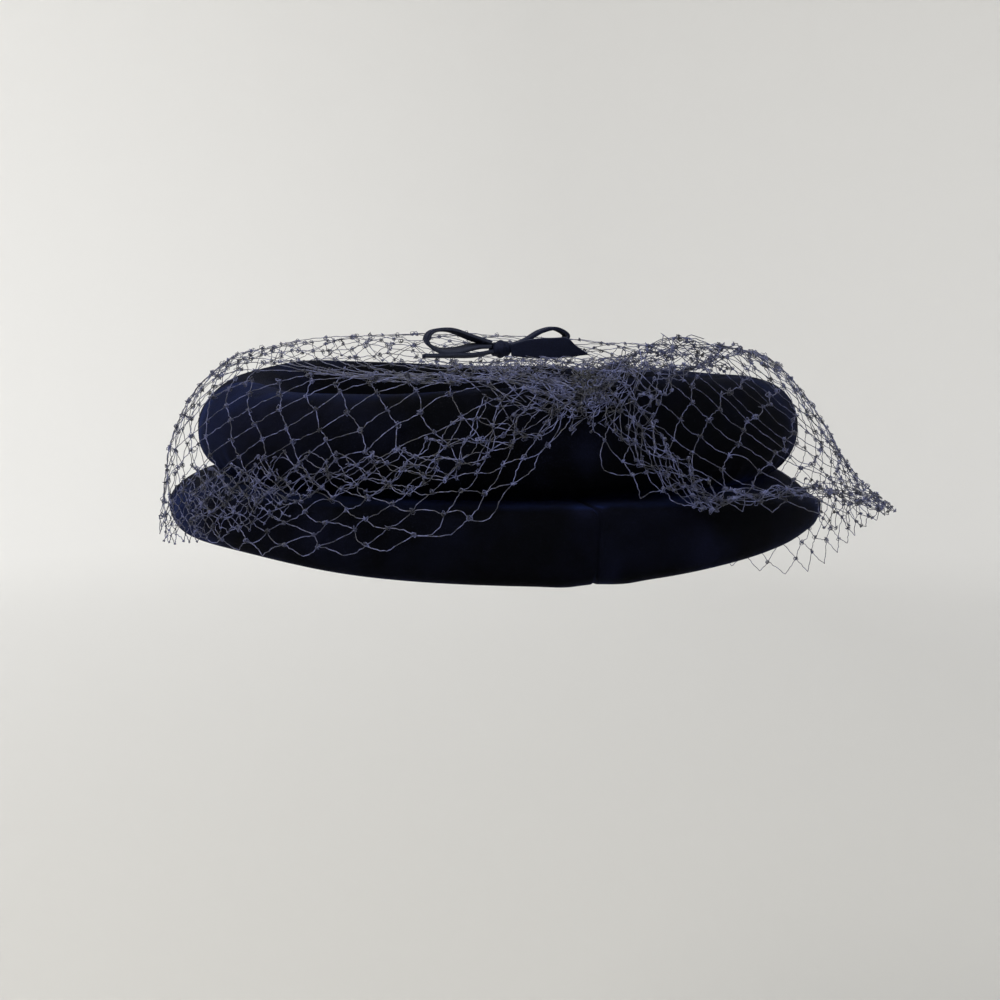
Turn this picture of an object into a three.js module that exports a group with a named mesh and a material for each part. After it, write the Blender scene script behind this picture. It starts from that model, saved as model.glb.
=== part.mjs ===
// Pillbox hat of velvet: a puffed ring crown, open at the top, on a wider turned-up cuff, under a coarse veil
// that is gathered at the back, with a small ribbon bow. Millimetres, +Z up.
// The wearer faces -Y, so the back is at +Y and the wearer's left at +X. The origin is the middle of the head
// opening, in the plane of the rim. Azimuths run from the wearer's left, anticlockwise seen from above.
import * as THREE from "three";

// Driving sizes
const WALL = 2; // velvet over its backing
const GAP = 0.3; // between pieces that touch
const LONGER = 5; // how much further the hat reaches to front and back than to the sides
const CUFF = { outer: 104, depth: 28 }; // radius to the side, and how deep the roll is from outside to inside
const CROWN = { outer: 96, depth: 31, shiftX: -0.9, power: 2.1 };
const SEAM = { azimuth: 93, width: 3, dip: 1.2 }; // the back seam of the cuff: degrees, degrees, mm
const RING_STEPS = 44; // facets round the crown and the cuff
const CROWN_ROLL = { from: -90, to: 200, parts: 10 }; // the part of each section that is velvet, in degrees
const CUFF_ROLL = { from: -185, to: 105, parts: 11 };
const NET = { thickness: 1.2, clearance: 1.6, columns: 12, rows: 5, edgeParts: 2, opening: 0.72 };
const RUFFLE = { height: 1.8, count: 6 }; // waves along the veil's hem
// Where the veil is drawn together: an oval on the crown's top at the back, which the net leaves from one side of
// its back round the front to the other, in degrees.
const GATHER = { x: -2, y: 86, z: 53.6, halfWidth: 8, halfDepth: 4, backDrop: 2, from: 80, turn: -340 };
const RIBBON = { thickness: 1.2 };
const KNOT = { width: 7.4, depth: 8.5, height: 5.6 };
const BOW_SEAT = { across: 0.5, along: 0.3 }; // the crossing of the net that the bow is tied to

// Heights round the hat, a row for each place where they change: the rim, the top of the cuff's outer edge and
// the top of the crown, with how square the cuff's section is (2 is an ellipse).
const HEIGHTS = [
  { azimuth: -15, rim: 1.2, cuff: 16, crown: 49.5, square: 2.6 },
  { azimuth: 34, rim: 1.4, cuff: 18.5, crown: 46.5, square: 3.2 },
  { azimuth: 75, rim: -1.6, cuff: 19.8, crown: 49.4, square: 4 },
  { azimuth: 105, rim: -1.2, cuff: 19.6, crown: 52.4, square: 4 },
  { azimuth: 130, rim: 1.6, cuff: 17.5, crown: 51.5, square: 3.2 },
  { azimuth: 165, rim: 1.8, cuff: 10.5, crown: 48.5, square: 2.3 },
  { azimuth: 215, rim: 1, cuff: 13.5, crown: 49.5, square: 2.6 },
  { azimuth: 270, rim: 0, cuff: 17, crown: 49.5, square: 3 },
  { azimuth: 309, rim: 1, cuff: 17, crown: 52.5, square: 2.8 },
];
const CUFF_INNER_TOP = 19.3; // where the crown sits on the cuff

// The veil's ribs from the gather to the hem, from the left flap's edge round the front to the right flap's
// edge: how far each sags on its way over the top, then the azimuth, radius and height where it passes over the
// crown's top, down its side and at the hem.
const RIBS = [
  { sag: 0, topAz: 89, topR: 95, topZ: 48, sideAz: 84, sideR: 101, sideZ: 31, hemAz: 70, hemR: 108, hemZ: 15 },
  { sag: 0, topAz: 67, topR: 89.5, topZ: 52.5, sideAz: 60, sideR: 101, sideZ: 33, hemAz: 52, hemR: 108, hemZ: 8 },
  { sag: 0.5, topAz: 36, topR: 87.5, topZ: 51, sideAz: 33, sideR: 102, sideZ: 32, hemAz: 30, hemR: 108, hemZ: 4 },
  { sag: 1.5, topAz: 4, topR: 87, topZ: 53, sideAz: 3, sideR: 102, sideZ: 34, hemAz: 1, hemR: 107, hemZ: 2.5 },
  { sag: 2.5, topAz: -27, topR: 87, topZ: 56, sideAz: -28, sideR: 103, sideZ: 36, hemAz: -30, hemR: 106.5, hemZ: -4 },
  { sag: 2.5, topAz: -54, topR: 87.5, topZ: 59, sideAz: -55, sideR: 105, sideZ: 35, hemAz: -57, hemR: 111, hemZ: -19 },
  { sag: 2, topAz: -77.5, topR: 88, topZ: 59, sideAz: -80, sideR: 106, sideZ: 34, hemAz: -84, hemR: 113, hemZ: -24 },
  { sag: 2, topAz: -105.5, topR: 88, topZ: 59, sideAz: -108, sideR: 107, sideZ: 33, hemAz: -114, hemR: 113, hemZ: -25 },
  { sag: 2.5, topAz: -136, topR: 87, topZ: 57, sideAz: -138, sideR: 108, sideZ: 31, hemAz: -144, hemR: 115, hemZ: -25 },
  { sag: 2, topAz: -166, topR: 87, topZ: 56.5, sideAz: -168, sideR: 109, sideZ: 29, hemAz: -170, hemR: 118, hemZ: -25 },
  { sag: 1.5, topAz: -198, topR: 86.5, topZ: 56, sideAz: -195, sideR: 108, sideZ: 31.5, hemAz: -188, hemR: 123, hemZ: -6 },
  { sag: 0.5, topAz: -226, topR: 83, topZ: 60, sideAz: -221, sideR: 104, sideZ: 36, hemAz: -204, hemR: 125.5, hemZ: 8 },
  { sag: 0, topAz: -250, topR: 83, topZ: 63, sideAz: -246, sideR: 100.5, sideZ: 35.5, hemAz: -238, hemR: 109, hemZ: 15 },
  { sag: 0, topAz: -267, topR: 95, topZ: 48, sideAz: -266, sideR: 101, sideZ: 31, hemAz: -257, hemR: 107, hemZ: 18 },
];

// The bow's ribbons from the knot to their ends, in the bow's own frame: x to the wearer's left, y to the back
// and z up from the net, with the ribbon's width and how far its face is turned up from lying flat in y.
const RIBBONS = {
  bow_loop_left: [
    { x: 4, y: 1, z: 5.2, width: 4.6, turn: 0 },
    { x: 10, y: 0.6, z: 7.2, width: 6.2, turn: 4 },
    { x: 18, y: 0, z: 9.3, width: 7, turn: 6 },
    { x: 23.4, y: -0.2, z: 8.2, width: 7, turn: 4 },
    { x: 24.2, y: -0.2, z: 5.5, width: 7, turn: 0 },
    { x: 20, y: 0, z: 3.5, width: 7, turn: -6 },
    { x: 13, y: 0.4, z: 3.2, width: 6.8, turn: -8 },
    { x: 4.2, y: 1, z: 3.9, width: 4.6, turn: 0 },
  ],
  bow_loop_right: [
    { x: -3.9, y: -1.4, z: 4.9, width: 4.6, turn: 0 },
    { x: -10, y: -1.8, z: 7.2, width: 6, turn: 0 },
    { x: -17, y: -2.2, z: 9.7, width: 6.6, turn: 0 },
    { x: -22.6, y: -2.2, z: 9.2, width: 6.6, turn: 0 },
    { x: -24.4, y: -2.2, z: 6.4, width: 6.6, turn: 0 },
    { x: -19, y: -2.2, z: 4.1, width: 6.6, turn: 0 },
    { x: -11, y: -1.8, z: 3.4, width: 6, turn: 0 },
    { x: -4.1, y: -1.4, z: 3.3, width: 4.6, turn: 0 },
  ],
  bow_tail_left: [
    { x: 3.7, y: 1.4, z: 2.1, width: 3.4, turn: 10 },
    { x: 9, y: 2.2, z: 1.1, width: 6, turn: 4 },
    { x: 17, y: 2.8, z: 1, width: 6.6, turn: 4 },
    { x: 26, y: 3.6, z: 1.2, width: 4, turn: 6 },
  ],
  bow_tail_right: [
    { x: -3.3, y: 3.1, z: 2.8, width: 3.6, turn: 80 },
    { x: -8, y: 4.2, z: 3.2, width: 6, turn: 78 },
    { x: -15, y: 5, z: 3.4, width: 7, turn: 76 },
    { x: -23, y: 5, z: 3.5, width: 6.6, turn: 74 },
    { x: -29, y: 4.6, z: 2.4, width: 2.4, turn: 70 },
  ],
};
const RIBBON_STEPS = { loop: 18, tail: 8 };

const radians = THREE.MathUtils.degToRad;

// Cubic through four values in a row, at t from the second to the third.
function cubic(a, b, c, d, t) {
  const slopeB = (c - a) / 2;
  const slopeC = (d - b) / 2;
  const s = t * t * (3 - 2 * t);
  return b + (c - b) * s + slopeB * t * (1 - t) * (1 - t) - slopeC * t * t * (1 - t);
}

// One column of HEIGHTS at an azimuth, smooth all the way round.
function heightAt(column, azimuth) {
  const count = HEIGHTS.length;
  const turned = THREE.MathUtils.euclideanModulo(azimuth - HEIGHTS[0].azimuth, 360) + HEIGHTS[0].azimuth;
  let row = count - 1;
  while (row > 0 && HEIGHTS[row].azimuth > turned) row -= 1;
  const start = HEIGHTS[row].azimuth;
  const end = row === count - 1 ? HEIGHTS[0].azimuth + 360 : HEIGHTS[row + 1].azimuth;
  const value = (step) => HEIGHTS[(row + step + count) % count][column];
  return cubic(value(-1), value(0), value(1), value(2), (turned - start) / (end - start));
}

// A place on the hat's oval plan.
function onPlan(radius, azimuth, height, shiftX = 0) {
  const angle = radians(azimuth);
  return new THREE.Vector3(radius * Math.cos(angle) + shiftX, (radius + LONGER) * Math.sin(angle), height);
}

// The rounded section of the cuff or the crown at an azimuth: its middle, its half sizes, its squareness and
// how far its top leans down to the outside.
function cuffSection(azimuth) {
  const rim = heightAt("rim", azimuth);
  const top = CUFF_INNER_TOP;
  const away = (azimuth - SEAM.azimuth) / SEAM.width;
  return {
    r: CUFF.outer - SEAM.dip * Math.exp(-away * away) - CUFF.depth / 2,
    z: (top + rim) / 2,
    halfR: CUFF.depth / 2,
    halfZ: (top - rim) / 2,
    power: heightAt("square", azimuth),
    lean: top - heightAt("cuff", azimuth),
  };
}

function crownSection(azimuth) {
  const top = heightAt("crown", azimuth);
  const bottom = CUFF_INNER_TOP + GAP;
  return {
    r: CROWN.outer - CROWN.depth / 2,
    z: (top + bottom) / 2,
    halfR: CROWN.depth / 2,
    halfZ: (top - bottom) / 2,
    power: CROWN.power,
    lean: 0,
  };
}

// A point of a section: angle 0 is outermost, 90 the top, and inset moves it into the wall.
function sectionPoint(section, angle, inset) {
  const rounded = (value) => Math.sign(value) * Math.abs(value) ** (2 / section.power);
  const across = rounded(Math.cos(radians(angle)));
  const up = rounded(Math.sin(radians(angle)));
  const leaning = Math.max(0, across) ** 2 * Math.max(0, up) * section.lean;
  return [section.r + (section.halfR - inset) * across, section.z + (section.halfZ - inset) * up - leaning];
}

// A hollow roll, open towards the head: the outer side of the section from one angle to the other, back along
// the inner side, carried round the oval plan and closed.
function rollGeometry(sectionAt, shiftX, { from, to, parts }, azimuths) {
  const corners = [];
  for (let k = 0; k <= parts; k += 1) corners.push([from + ((to - from) * k) / parts, 0]);
  for (let k = parts; k >= 0; k -= 1) corners.push([from + ((to - from) * k) / parts, WALL]);
  const positions = [];
  for (const azimuth of azimuths) {
    const section = sectionAt(azimuth);
    for (const [angle, inset] of corners) {
      const [radius, height] = sectionPoint(section, angle, inset);
      positions.push(...onPlan(radius, azimuth, height, shiftX).toArray());
    }
  }
  const index = [];
  for (let i = 0; i < azimuths.length; i += 1) {
    const next = (i + 1) % azimuths.length;
    for (let k = 0; k < corners.length; k += 1) {
      const after = (k + 1) % corners.length;
      const [a, b] = [i * corners.length + k, next * corners.length + k];
      const [c, d] = [next * corners.length + after, i * corners.length + after];
      index.push(a, b, c, a, c, d);
    }
  }
  return closed(positions, index);
}

function closed(positions, index) {
  const geometry = new THREE.BufferGeometry();
  geometry.setAttribute("position", new THREE.Float32BufferAttribute(positions, 3));
  geometry.setIndex(index);
  geometry.computeVertexNormals();
  return geometry;
}

// Even steps round the hat, with the seam's own steps beside it.
function ringAzimuths(withSeam) {
  const even = Array.from({ length: RING_STEPS }, (_, i) => (360 * i) / RING_STEPS);
  if (!withSeam) return even;
  const near = [-1.5, -0.5, 0, 0.5, 1.5].map((widths) => SEAM.azimuth + widths * SEAM.width);
  const clear = even.filter((azimuth) => Math.abs(azimuth - SEAM.azimuth) > 2 * SEAM.width);
  return [...clear, ...near].sort((a, b) => a - b);
}

// Moves a point of the veil out of a roll, so that it stays clear of the velvet.
function pushOut(point, sectionAt, shiftX, clearance) {
  const azimuth = THREE.MathUtils.radToDeg(Math.atan2(point.y, point.x - shiftX));
  const section = sectionAt(azimuth);
  const radius = Math.hypot(point.x - shiftX, point.y) - LONGER * Math.sin(radians(azimuth)) ** 2;
  const out = (radius - section.r) / (section.halfR + clearance);
  const up = (point.z - section.z) / (section.halfZ + clearance);
  const reach = (Math.abs(out) ** section.power + Math.abs(up) ** section.power) ** (1 / section.power);
  if (reach >= 1) return point;
  const moved = (radius - section.r) * (1 / reach - 1);
  point.x += moved * Math.cos(radians(azimuth));
  point.y += moved * Math.sin(radians(azimuth));
  point.z += (point.z - section.z) * (1 / reach - 1);
  return point;
}

// The veil's rib at a share of the way from the left flap's edge to the right flap's, as a curve from the
// gather over the crown's top and side to the hem.
const ribCurves = new Map();
function ribCurve(across) {
  const key = across.toFixed(6);
  if (ribCurves.has(key)) return ribCurves.get(key);
  const last = RIBS.length - 1;
  const row = Math.min(last - 1, Math.floor(across * last));
  const value = (column) => {
    const at = (k) => RIBS[THREE.MathUtils.clamp(row + k, 0, last)][column];
    return cubic(at(-1), at(0), at(1), at(2), across * last - row);
  };
  const round = radians(GATHER.from + GATHER.turn * across);
  const start = new THREE.Vector3(
    GATHER.x + GATHER.halfWidth * Math.cos(round),
    GATHER.y + GATHER.halfDepth * Math.sin(round),
    GATHER.z - GATHER.backDrop * Math.max(0, Math.sin(round)),
  );
  const top = onPlan(value("topR"), value("topAz"), value("topZ"));
  const middle = start.clone().lerp(top, 0.5);
  middle.z -= value("sag");
  const curve = new THREE.CatmullRomCurve3(
    [
      start,
      middle,
      top,
      onPlan(value("sideR"), value("sideAz"), value("sideZ")),
      onPlan(value("hemR"), value("hemAz"), value("hemZ")),
    ],
    false,
    "centripetal",
  );
  ribCurves.set(key, curve);
  return curve;
}

// A point of the veil's middle surface: across from flap to flap, along from the gather to the hem.
function veilPoint(across, along) {
  const point = ribCurve(across).getPointAt(along);
  const wave = RUFFLE.height * along ** 3 * Math.sin(2 * Math.PI * RUFFLE.count * across);
  const outwards = new THREE.Vector3(point.x, point.y, 0).normalize();
  point.addScaledVector(outwards, wave);
  pushOut(point, cuffSection, 0, NET.clearance);
  return pushOut(point, crownSection, CROWN.shiftX, NET.clearance);
}

// The veil's outward normal, from its slopes both ways.
function veilNormal(across, along) {
  const small = 0.004;
  const [a0, a1] = [Math.max(0, across - small), Math.min(1, across + small)];
  const [l0, l1] = [Math.max(0, along - small), Math.min(1, along + small)];
  const slopeAcross = veilPoint(a1, along).sub(veilPoint(a0, along));
  const slopeAlong = veilPoint(across, l1).sub(veilPoint(across, l0));
  return slopeAlong.cross(slopeAcross).normalize();
}

// Coarse net: diamonds, and half diamonds along the hem, each a frame round its own opening, closed at all their
// edges, and a fan that joins the first row at the gather.
function veilGeometry() {
  const { columns } = NET;
  const positions = [];
  const places = new Map();
  const faces = [];
  // A corner of the net in half diamonds, as the numbers of its outer and inner vertices.
  const corner = (i, j) => {
    const key = `${i.toFixed(4)} ${j.toFixed(4)}`;
    if (!places.has(key)) {
      const [across, along] = [i / (2 * columns), j / (2 * NET.rows)];
      const normal = veilNormal(across, along);
      for (const side of [0.5, -0.5]) {
        const point = veilPoint(across, along).addScaledVector(normal, side * NET.thickness);
        positions.push(...point.toArray());
      }
      places.set(key, positions.length / 3 - 2);
    }
    return places.get(key);
  };
  const mix = (a, b, t) => [a[0] + (b[0] - a[0]) * t, a[1] + (b[1] - a[1]) * t];
  // The edge of a polygon in half diamonds, with edgeParts steps to a side.
  const outline = (points, isOpen) => {
    const sides = isOpen ? points.length - 1 : points.length;
    const found = [];
    for (let k = 0; k < sides; k += 1) {
      for (let part = 0; part < NET.edgeParts; part += 1) {
        found.push(mix(points[k], points[(k + 1) % points.length], part / NET.edgeParts));
      }
    }
    return isOpen ? [...found, points[sides]] : found;
  };

  // A frame of net round one opening.
  const frame = (points) => {
    const middle = [0, 1].map((axis) => points.reduce((sum, point) => sum + point[axis], 0) / points.length);
    const ring = outline(points, false);
    const outer = ring.map(([a, b]) => corner(a, b));
    const inner = ring.map((point) => corner(...mix(middle, point, NET.opening)));
    for (let k = 0; k < ring.length; k += 1) {
      const after = (k + 1) % ring.length;
      faces.push([outer[k], outer[after], inner[after]], [outer[k], inner[after], inner[k]]);
    }
  };
  const hem = 2 * NET.rows;
  for (let j = 1; j < hem; j += 1) {
    for (let i = 1; i < 2 * columns; i += 1) {
      if ((i + j) % 2 === 0) frame([[i - 1, j], [i, j + 1], [i + 1, j], [i, j - 1]]);
    }
  }
  for (let i = 0; i <= 2 * columns; i += 2) {
    frame([[Math.max(0, i - 1), hem], [Math.min(2 * columns, i + 1), hem], [i, hem - 1]]);
  }

  const chain = [[0, 1]];
  for (let i = 1; i <= 2 * columns; i += 1) chain.push([i, i % 2 === 1 ? 0 : 1]);
  const rim = outline(chain, true).map(([a, b]) => corner(a, b));
  const drawn = positions.length / 3;
  for (const side of [0.5, -0.5]) positions.push(GATHER.x, GATHER.y, GATHER.z + side * NET.thickness);
  for (let k = 0; k + 1 < rim.length; k += 1) faces.push([rim[k], rim[k + 1], drawn]);

  // Each face once outside and once, turned round, inside, and a wall along every edge that has one face.
  const index = [];
  const edges = new Map();
  for (const [a, b, c] of faces) {
    index.push(a, b, c, a + 1, c + 1, b + 1);
    for (const [from, to] of [[a, b], [b, c], [c, a]]) {
      if (edges.has(`${to} ${from}`)) edges.delete(`${to} ${from}`);
      else edges.set(`${from} ${to}`, [from, to]);
    }
  }
  for (const [from, to] of edges.values()) index.push(to, from, from + 1, to, from + 1, to + 1);
  return closed(positions, index);
}

// A ribbon along its table's places: a strip of one thickness whose width turns as it goes.
function ribbonGeometry(rows, steps) {
  const route = new THREE.CatmullRomCurve3(rows.map(({ x, y, z }) => new THREE.Vector3(x, y, z)));
  const positions = [];
  for (let step = 0; step <= steps; step += 1) {
    const t = step / steps;
    const row = Math.min(rows.length - 2, Math.floor(t * (rows.length - 1)));
    const share = t * (rows.length - 1) - row;
    const value = (column) => THREE.MathUtils.lerp(rows[row][column], rows[row + 1][column], share);
    const along = route.getTangent(t);
    const wide = new THREE.Vector3(0, 1, 0).addScaledVector(along, -along.y).normalize();
    wide.applyAxisAngle(along, radians(value("turn")) * Math.sign(along.x || 1));
    const thick = new THREE.Vector3().crossVectors(along, wide);
    for (const [a, b] of [[1, 1], [-1, 1], [-1, -1], [1, -1]]) {
      const point = route.getPoint(t);
      point.addScaledVector(wide, (a * value("width")) / 2);
      point.addScaledVector(thick, (b * RIBBON.thickness) / 2);
      positions.push(...point.toArray());
    }
  }
  const index = [];
  for (let step = 0; step < steps; step += 1) {
    for (let k = 0; k < 4; k += 1) {
      const [a, b] = [4 * step + k, 4 * step + ((k + 1) % 4)];
      index.push(a, b, b + 4, a, b + 4, a + 4);
    }
  }
  const last = 4 * steps;
  index.push(0, 2, 1, 0, 3, 2, last, last + 1, last + 2, last, last + 2, last + 3);
  return closed(positions, index);
}

function piece(name, geometry, material) {
  const mesh = new THREE.Mesh(geometry, material);
  mesh.name = name;
  return mesh;
}

const velvet = { color: 0x080b1c, roughness: 0.95, metalness: 0 };
const crownVelvet = new THREE.MeshStandardMaterial(velvet);
const cuffVelvet = new THREE.MeshStandardMaterial(velvet);
const netting = new THREE.MeshStandardMaterial({ color: 0x23284a, roughness: 0.7, metalness: 0 });
const ribbon = new THREE.MeshStandardMaterial({ color: 0x14192a, roughness: 0.8, metalness: 0 });

// The ribbon bow, tied to the net over the middle of the open crown.
function bow() {
  const group = new THREE.Group();
  group.position.copy(veilPoint(BOW_SEAT.across, BOW_SEAT.along));
  group.position.z += NET.thickness / 2 + GAP;
  const knot = piece("bow_knot", new THREE.SphereGeometry(0.5, 12, 8).rotateX(Math.PI / 2), ribbon);
  knot.scale.set(KNOT.width, KNOT.depth, KNOT.height);
  knot.position.z = KNOT.height / 2 + GAP;
  group.add(knot);
  for (const [name, rows] of Object.entries(RIBBONS)) {
    const steps = name.includes("loop") ? RIBBON_STEPS.loop : RIBBON_STEPS.tail;
    group.add(piece(name, ribbonGeometry(rows, steps), ribbon));
  }
  return group;
}

const hat = new THREE.Group();
const crown = rollGeometry(crownSection, CROWN.shiftX, CROWN_ROLL, ringAzimuths(false));
const cuff = rollGeometry(cuffSection, 0, CUFF_ROLL, ringAzimuths(true));
hat.add(piece("crown", crown, crownVelvet));
hat.add(piece("cuff", cuff, cuffVelvet));
hat.add(piece("veil", veilGeometry(), netting));
hat.add(bow());

export default hat;
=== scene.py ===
"""Pillbox hat of navy velvet: a puffed ring crown, open at the top, on a wider turned-up cuff, under a
coarse knotted veil that is gathered at the back, with a small velvet ribbon bow.

Shapes are worked out in millimetres in the hat's own frame (+Z up, the wearer faces -Y, +X to the
wearer's left) and turned to metres when a mesh is made. Azimuths are in degrees from the wearer's left,
anticlockwise seen from above, so the back of the hat is at 90."""

import bpy
import numpy as np
from mathutils import Matrix


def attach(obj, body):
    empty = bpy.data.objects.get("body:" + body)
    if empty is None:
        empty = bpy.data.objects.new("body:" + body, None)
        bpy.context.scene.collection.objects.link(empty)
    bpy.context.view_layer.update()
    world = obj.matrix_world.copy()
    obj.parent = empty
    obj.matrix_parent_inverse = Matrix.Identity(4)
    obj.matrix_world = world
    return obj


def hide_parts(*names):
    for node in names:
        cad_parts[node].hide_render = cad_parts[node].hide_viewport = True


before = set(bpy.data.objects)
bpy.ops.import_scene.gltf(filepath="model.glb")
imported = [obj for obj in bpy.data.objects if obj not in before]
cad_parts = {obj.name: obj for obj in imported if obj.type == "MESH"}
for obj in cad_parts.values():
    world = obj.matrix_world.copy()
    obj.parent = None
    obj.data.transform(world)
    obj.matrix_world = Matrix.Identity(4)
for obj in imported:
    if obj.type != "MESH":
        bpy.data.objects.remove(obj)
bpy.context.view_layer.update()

MM = 0.001

# Driving sizes of the hat
WALL = 2.0  # velvet over its backing
GAP = 0.3  # between pieces that touch
LONGER = 5.0  # how much further the hat reaches to front and back than to the sides
CUFF = {"outer": 104.0, "depth": 28.0, "inner_top": 19.3}
CROWN = {"outer": 96.0, "depth": 31.0, "shift_x": -0.9, "power": 2.1}
SEAM = {"azimuth": 91.0, "width": 3.0, "dip": 1.2}
CROWN_ROLL = (-98.0, 200.0)  # the part of each section that is velvet, in degrees
CUFF_ROLL = (-185.0, 122.0)
VEIL_CLEARANCE = 1.6  # from the velvet to the middle of the veil
RUFFLE = {"height": 1.8, "count": 6}
GATHER = {"x": -2.0, "y": 86.0, "z": 53.6, "half_width": 8.0, "half_depth": 4.0, "back_drop": 2.0}
GATHER_FROM, GATHER_TURN = 80.0, -340.0
RIBBON_THICKNESS = 1.2
KNOT = {"width": 7.4, "depth": 8.5, "height": 5.6}
BOW_SEAT = {"across": 0.5, "along": 0.3}
NET_THICKNESS = 1.2

# Heights round the hat: azimuth, rim, top of the cuff's outer edge, top of the crown, squareness of the cuff
HEIGHTS = np.array([
    (-15, 1.2, 16, 49.5, 2.6),
    (34, 1.4, 18.5, 46.5, 3.2),
    (75, -1.6, 19.8, 49.4, 4),
    (105, -1.2, 19.6, 52.4, 4),
    (130, 1.6, 17.5, 51.5, 3.2),
    (165, 1.8, 10.5, 48.5, 2.3),
    (215, 1, 13.5, 49.5, 2.6),
    (270, 0, 17, 49.5, 3),
    (309, 1, 17, 52.5, 2.8),
])
RIM, CUFF_TOP, CROWN_TOP, SQUARE = 1, 2, 3, 4

# The veil's ribs, from the left flap's edge round the front to the right flap's edge: sag on the way over
# the top, then azimuth, radius and height over the crown's top, down its side and at the hem
RIBS = np.array([
    (0, 89, 95, 48, 84, 101, 31, 70, 108, 15),
    (0, 67, 89.5, 52.5, 60, 101, 33, 52, 108, 8),
    (0.5, 36, 87.5, 51, 33, 102, 32, 30, 108, 4),
    (1.5, 4, 87, 53, 3, 102, 34, 1, 107, 2.5),
    (2.5, -27, 87, 56, -28, 103, 36, -30, 106.5, -4),
    (2.5, -54, 87.5, 59, -55, 105, 35, -57, 111, -19),
    (2, -77.5, 88, 59, -80, 106, 34, -84, 113, -24),
    (2, -105.5, 88, 59, -108, 107, 33, -114, 113, -25),
    (2.5, -136, 87, 57, -138, 108, 31, -144, 115, -25),
    (2, -166, 87, 56.5, -168, 109, 29, -170, 118, -25),
    (1.5, -198, 86.5, 56, -195, 108, 31.5, -188, 123, -6),
    (0.5, -226, 83, 60, -221, 104, 36, -204, 125.5, 8),
    (0, -250, 83, 63, -246, 100.5, 35.5, -238, 109, 15),
    (0, -267, 95, 48, -266, 101, 31, -257, 107, 18),
])

# The bow's ribbons from the knot to their ends, in the bow's own frame: x to the wearer's left, y to the
# back, z up from the net, width, and how far the face is turned up from lying flat in y
RIBBONS = {
    "bow_loop_left": [
        (3.4, 1, 4.9, 4.4, 12),
        (9, 0.6, 6.6, 6, 12),
        (17.5, 0, 9.4, 7, 4),
        (23.2, -0.2, 8.4, 7, 0),
        (24.2, -0.2, 5.6, 7, -4),
        (20.5, 0, 2.9, 6.6, -10),
        (15, 0.3, 2.7, 6.4, -13),
        (9, 0.6, 4, 6, -13),
        (3.4, 1, 4.3, 4.4, -8),
    ],
    "bow_loop_right": [
        (-3.3, -1.4, 4.2, 4.6, 0),
        (-8.5, -1.8, 5.7, 6, 0),
        (-14.4, -2.2, 8.8, 6.6, 0),
        (-19.2, -2.2, 9.6, 6.6, 0),
        (-23, -2.2, 7.2, 6.6, 0),
        (-19, -2.2, 4.1, 6.6, 0),
        (-11, -1.8, 3.4, 6, 0),
        (-3.3, -1.4, 3.3, 4.6, 0),
    ],
    "bow_tail_left": [
        (3.1, 1.4, 2.3, 3.4, 10),
        (9, 2.2, 1.3, 6, 10),
        (17, 2.8, 1.2, 6.6, 8),
        (26, 3.6, 1.2, 4, 6),
    ],
    "bow_tail_right": [
        (-2.8, 3.1, 2.8, 3.8, 80),
        (-8, 4.2, 3.2, 6, 78),
        (-15, 5, 3.4, 7, 76),
        (-23, 5, 3.5, 6.6, 74),
        (-29, 4.6, 2.4, 2.4, 70),
    ],
}

TAIL_CUTS = {"bow_tail_right": 6.0}  # how much sooner a tail's upper edge ends

# The camera of the photograph: behind the hat, a little to its right, looking slightly down
CAMERA = {
    "azimuth": 165.7, "distance": 0.5, "aside": 0.0021, "height": 0.071, "pitch": 7.1, "focal_px": 1530.0,
}
FRAME_PX = 1000.0
SENSOR_MM = 36.0

# The veil's net: its thread, and half the width and height of a knotted diamond of it. The close net hangs
# round the hat, and over the open top the net is pulled wide.
THREAD = 0.27
CLOSE_NET = {"columns": 108, "half_height": 5.4, "from_hem": True}
WIDE_NET = {"columns": 54, "half_height": 9.0, "from_hem": False}
TOP_RIBS = (0.17, 0.84)  # the shares across between which the veil crosses the open top
TOP_OVERLAP = 4.0  # by which the close net comes up over the top's edge
TOP_CLEAR = 36.0  # the wide net starts this far from the gather
GATHER_CLEAR = (9.0, 34.0)  # and the close net of the flaps this far, by their free edges and at the sides
STRAND_POINTS = 8
TUFT = {"loops": 4, "points": 5, "radius": 0.72, "thread": 0.24, "spread": 0.24}
SMALL_TUFT = 0.62  # size of a knot in the folds and the gather, against one of the open net

# Where the flaps' own net is turned over into the folds, as shares (across, along)
LEFT_TURN = np.array([
    (0.030, 0.24), (0.036, 0.37), (0.048, 0.53), (0.061, 0.66), (0.079, 0.73), (0.114, 0.79), (0.148, 0.84),
    (0.186, 0.90), (0.205, 1.01),
])
RIGHT_TURN = np.array([(0.985, 0.0), (0.985, 0.30), (0.975, 0.50), (0.966, 0.75), (0.966, 1.0)])

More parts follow.
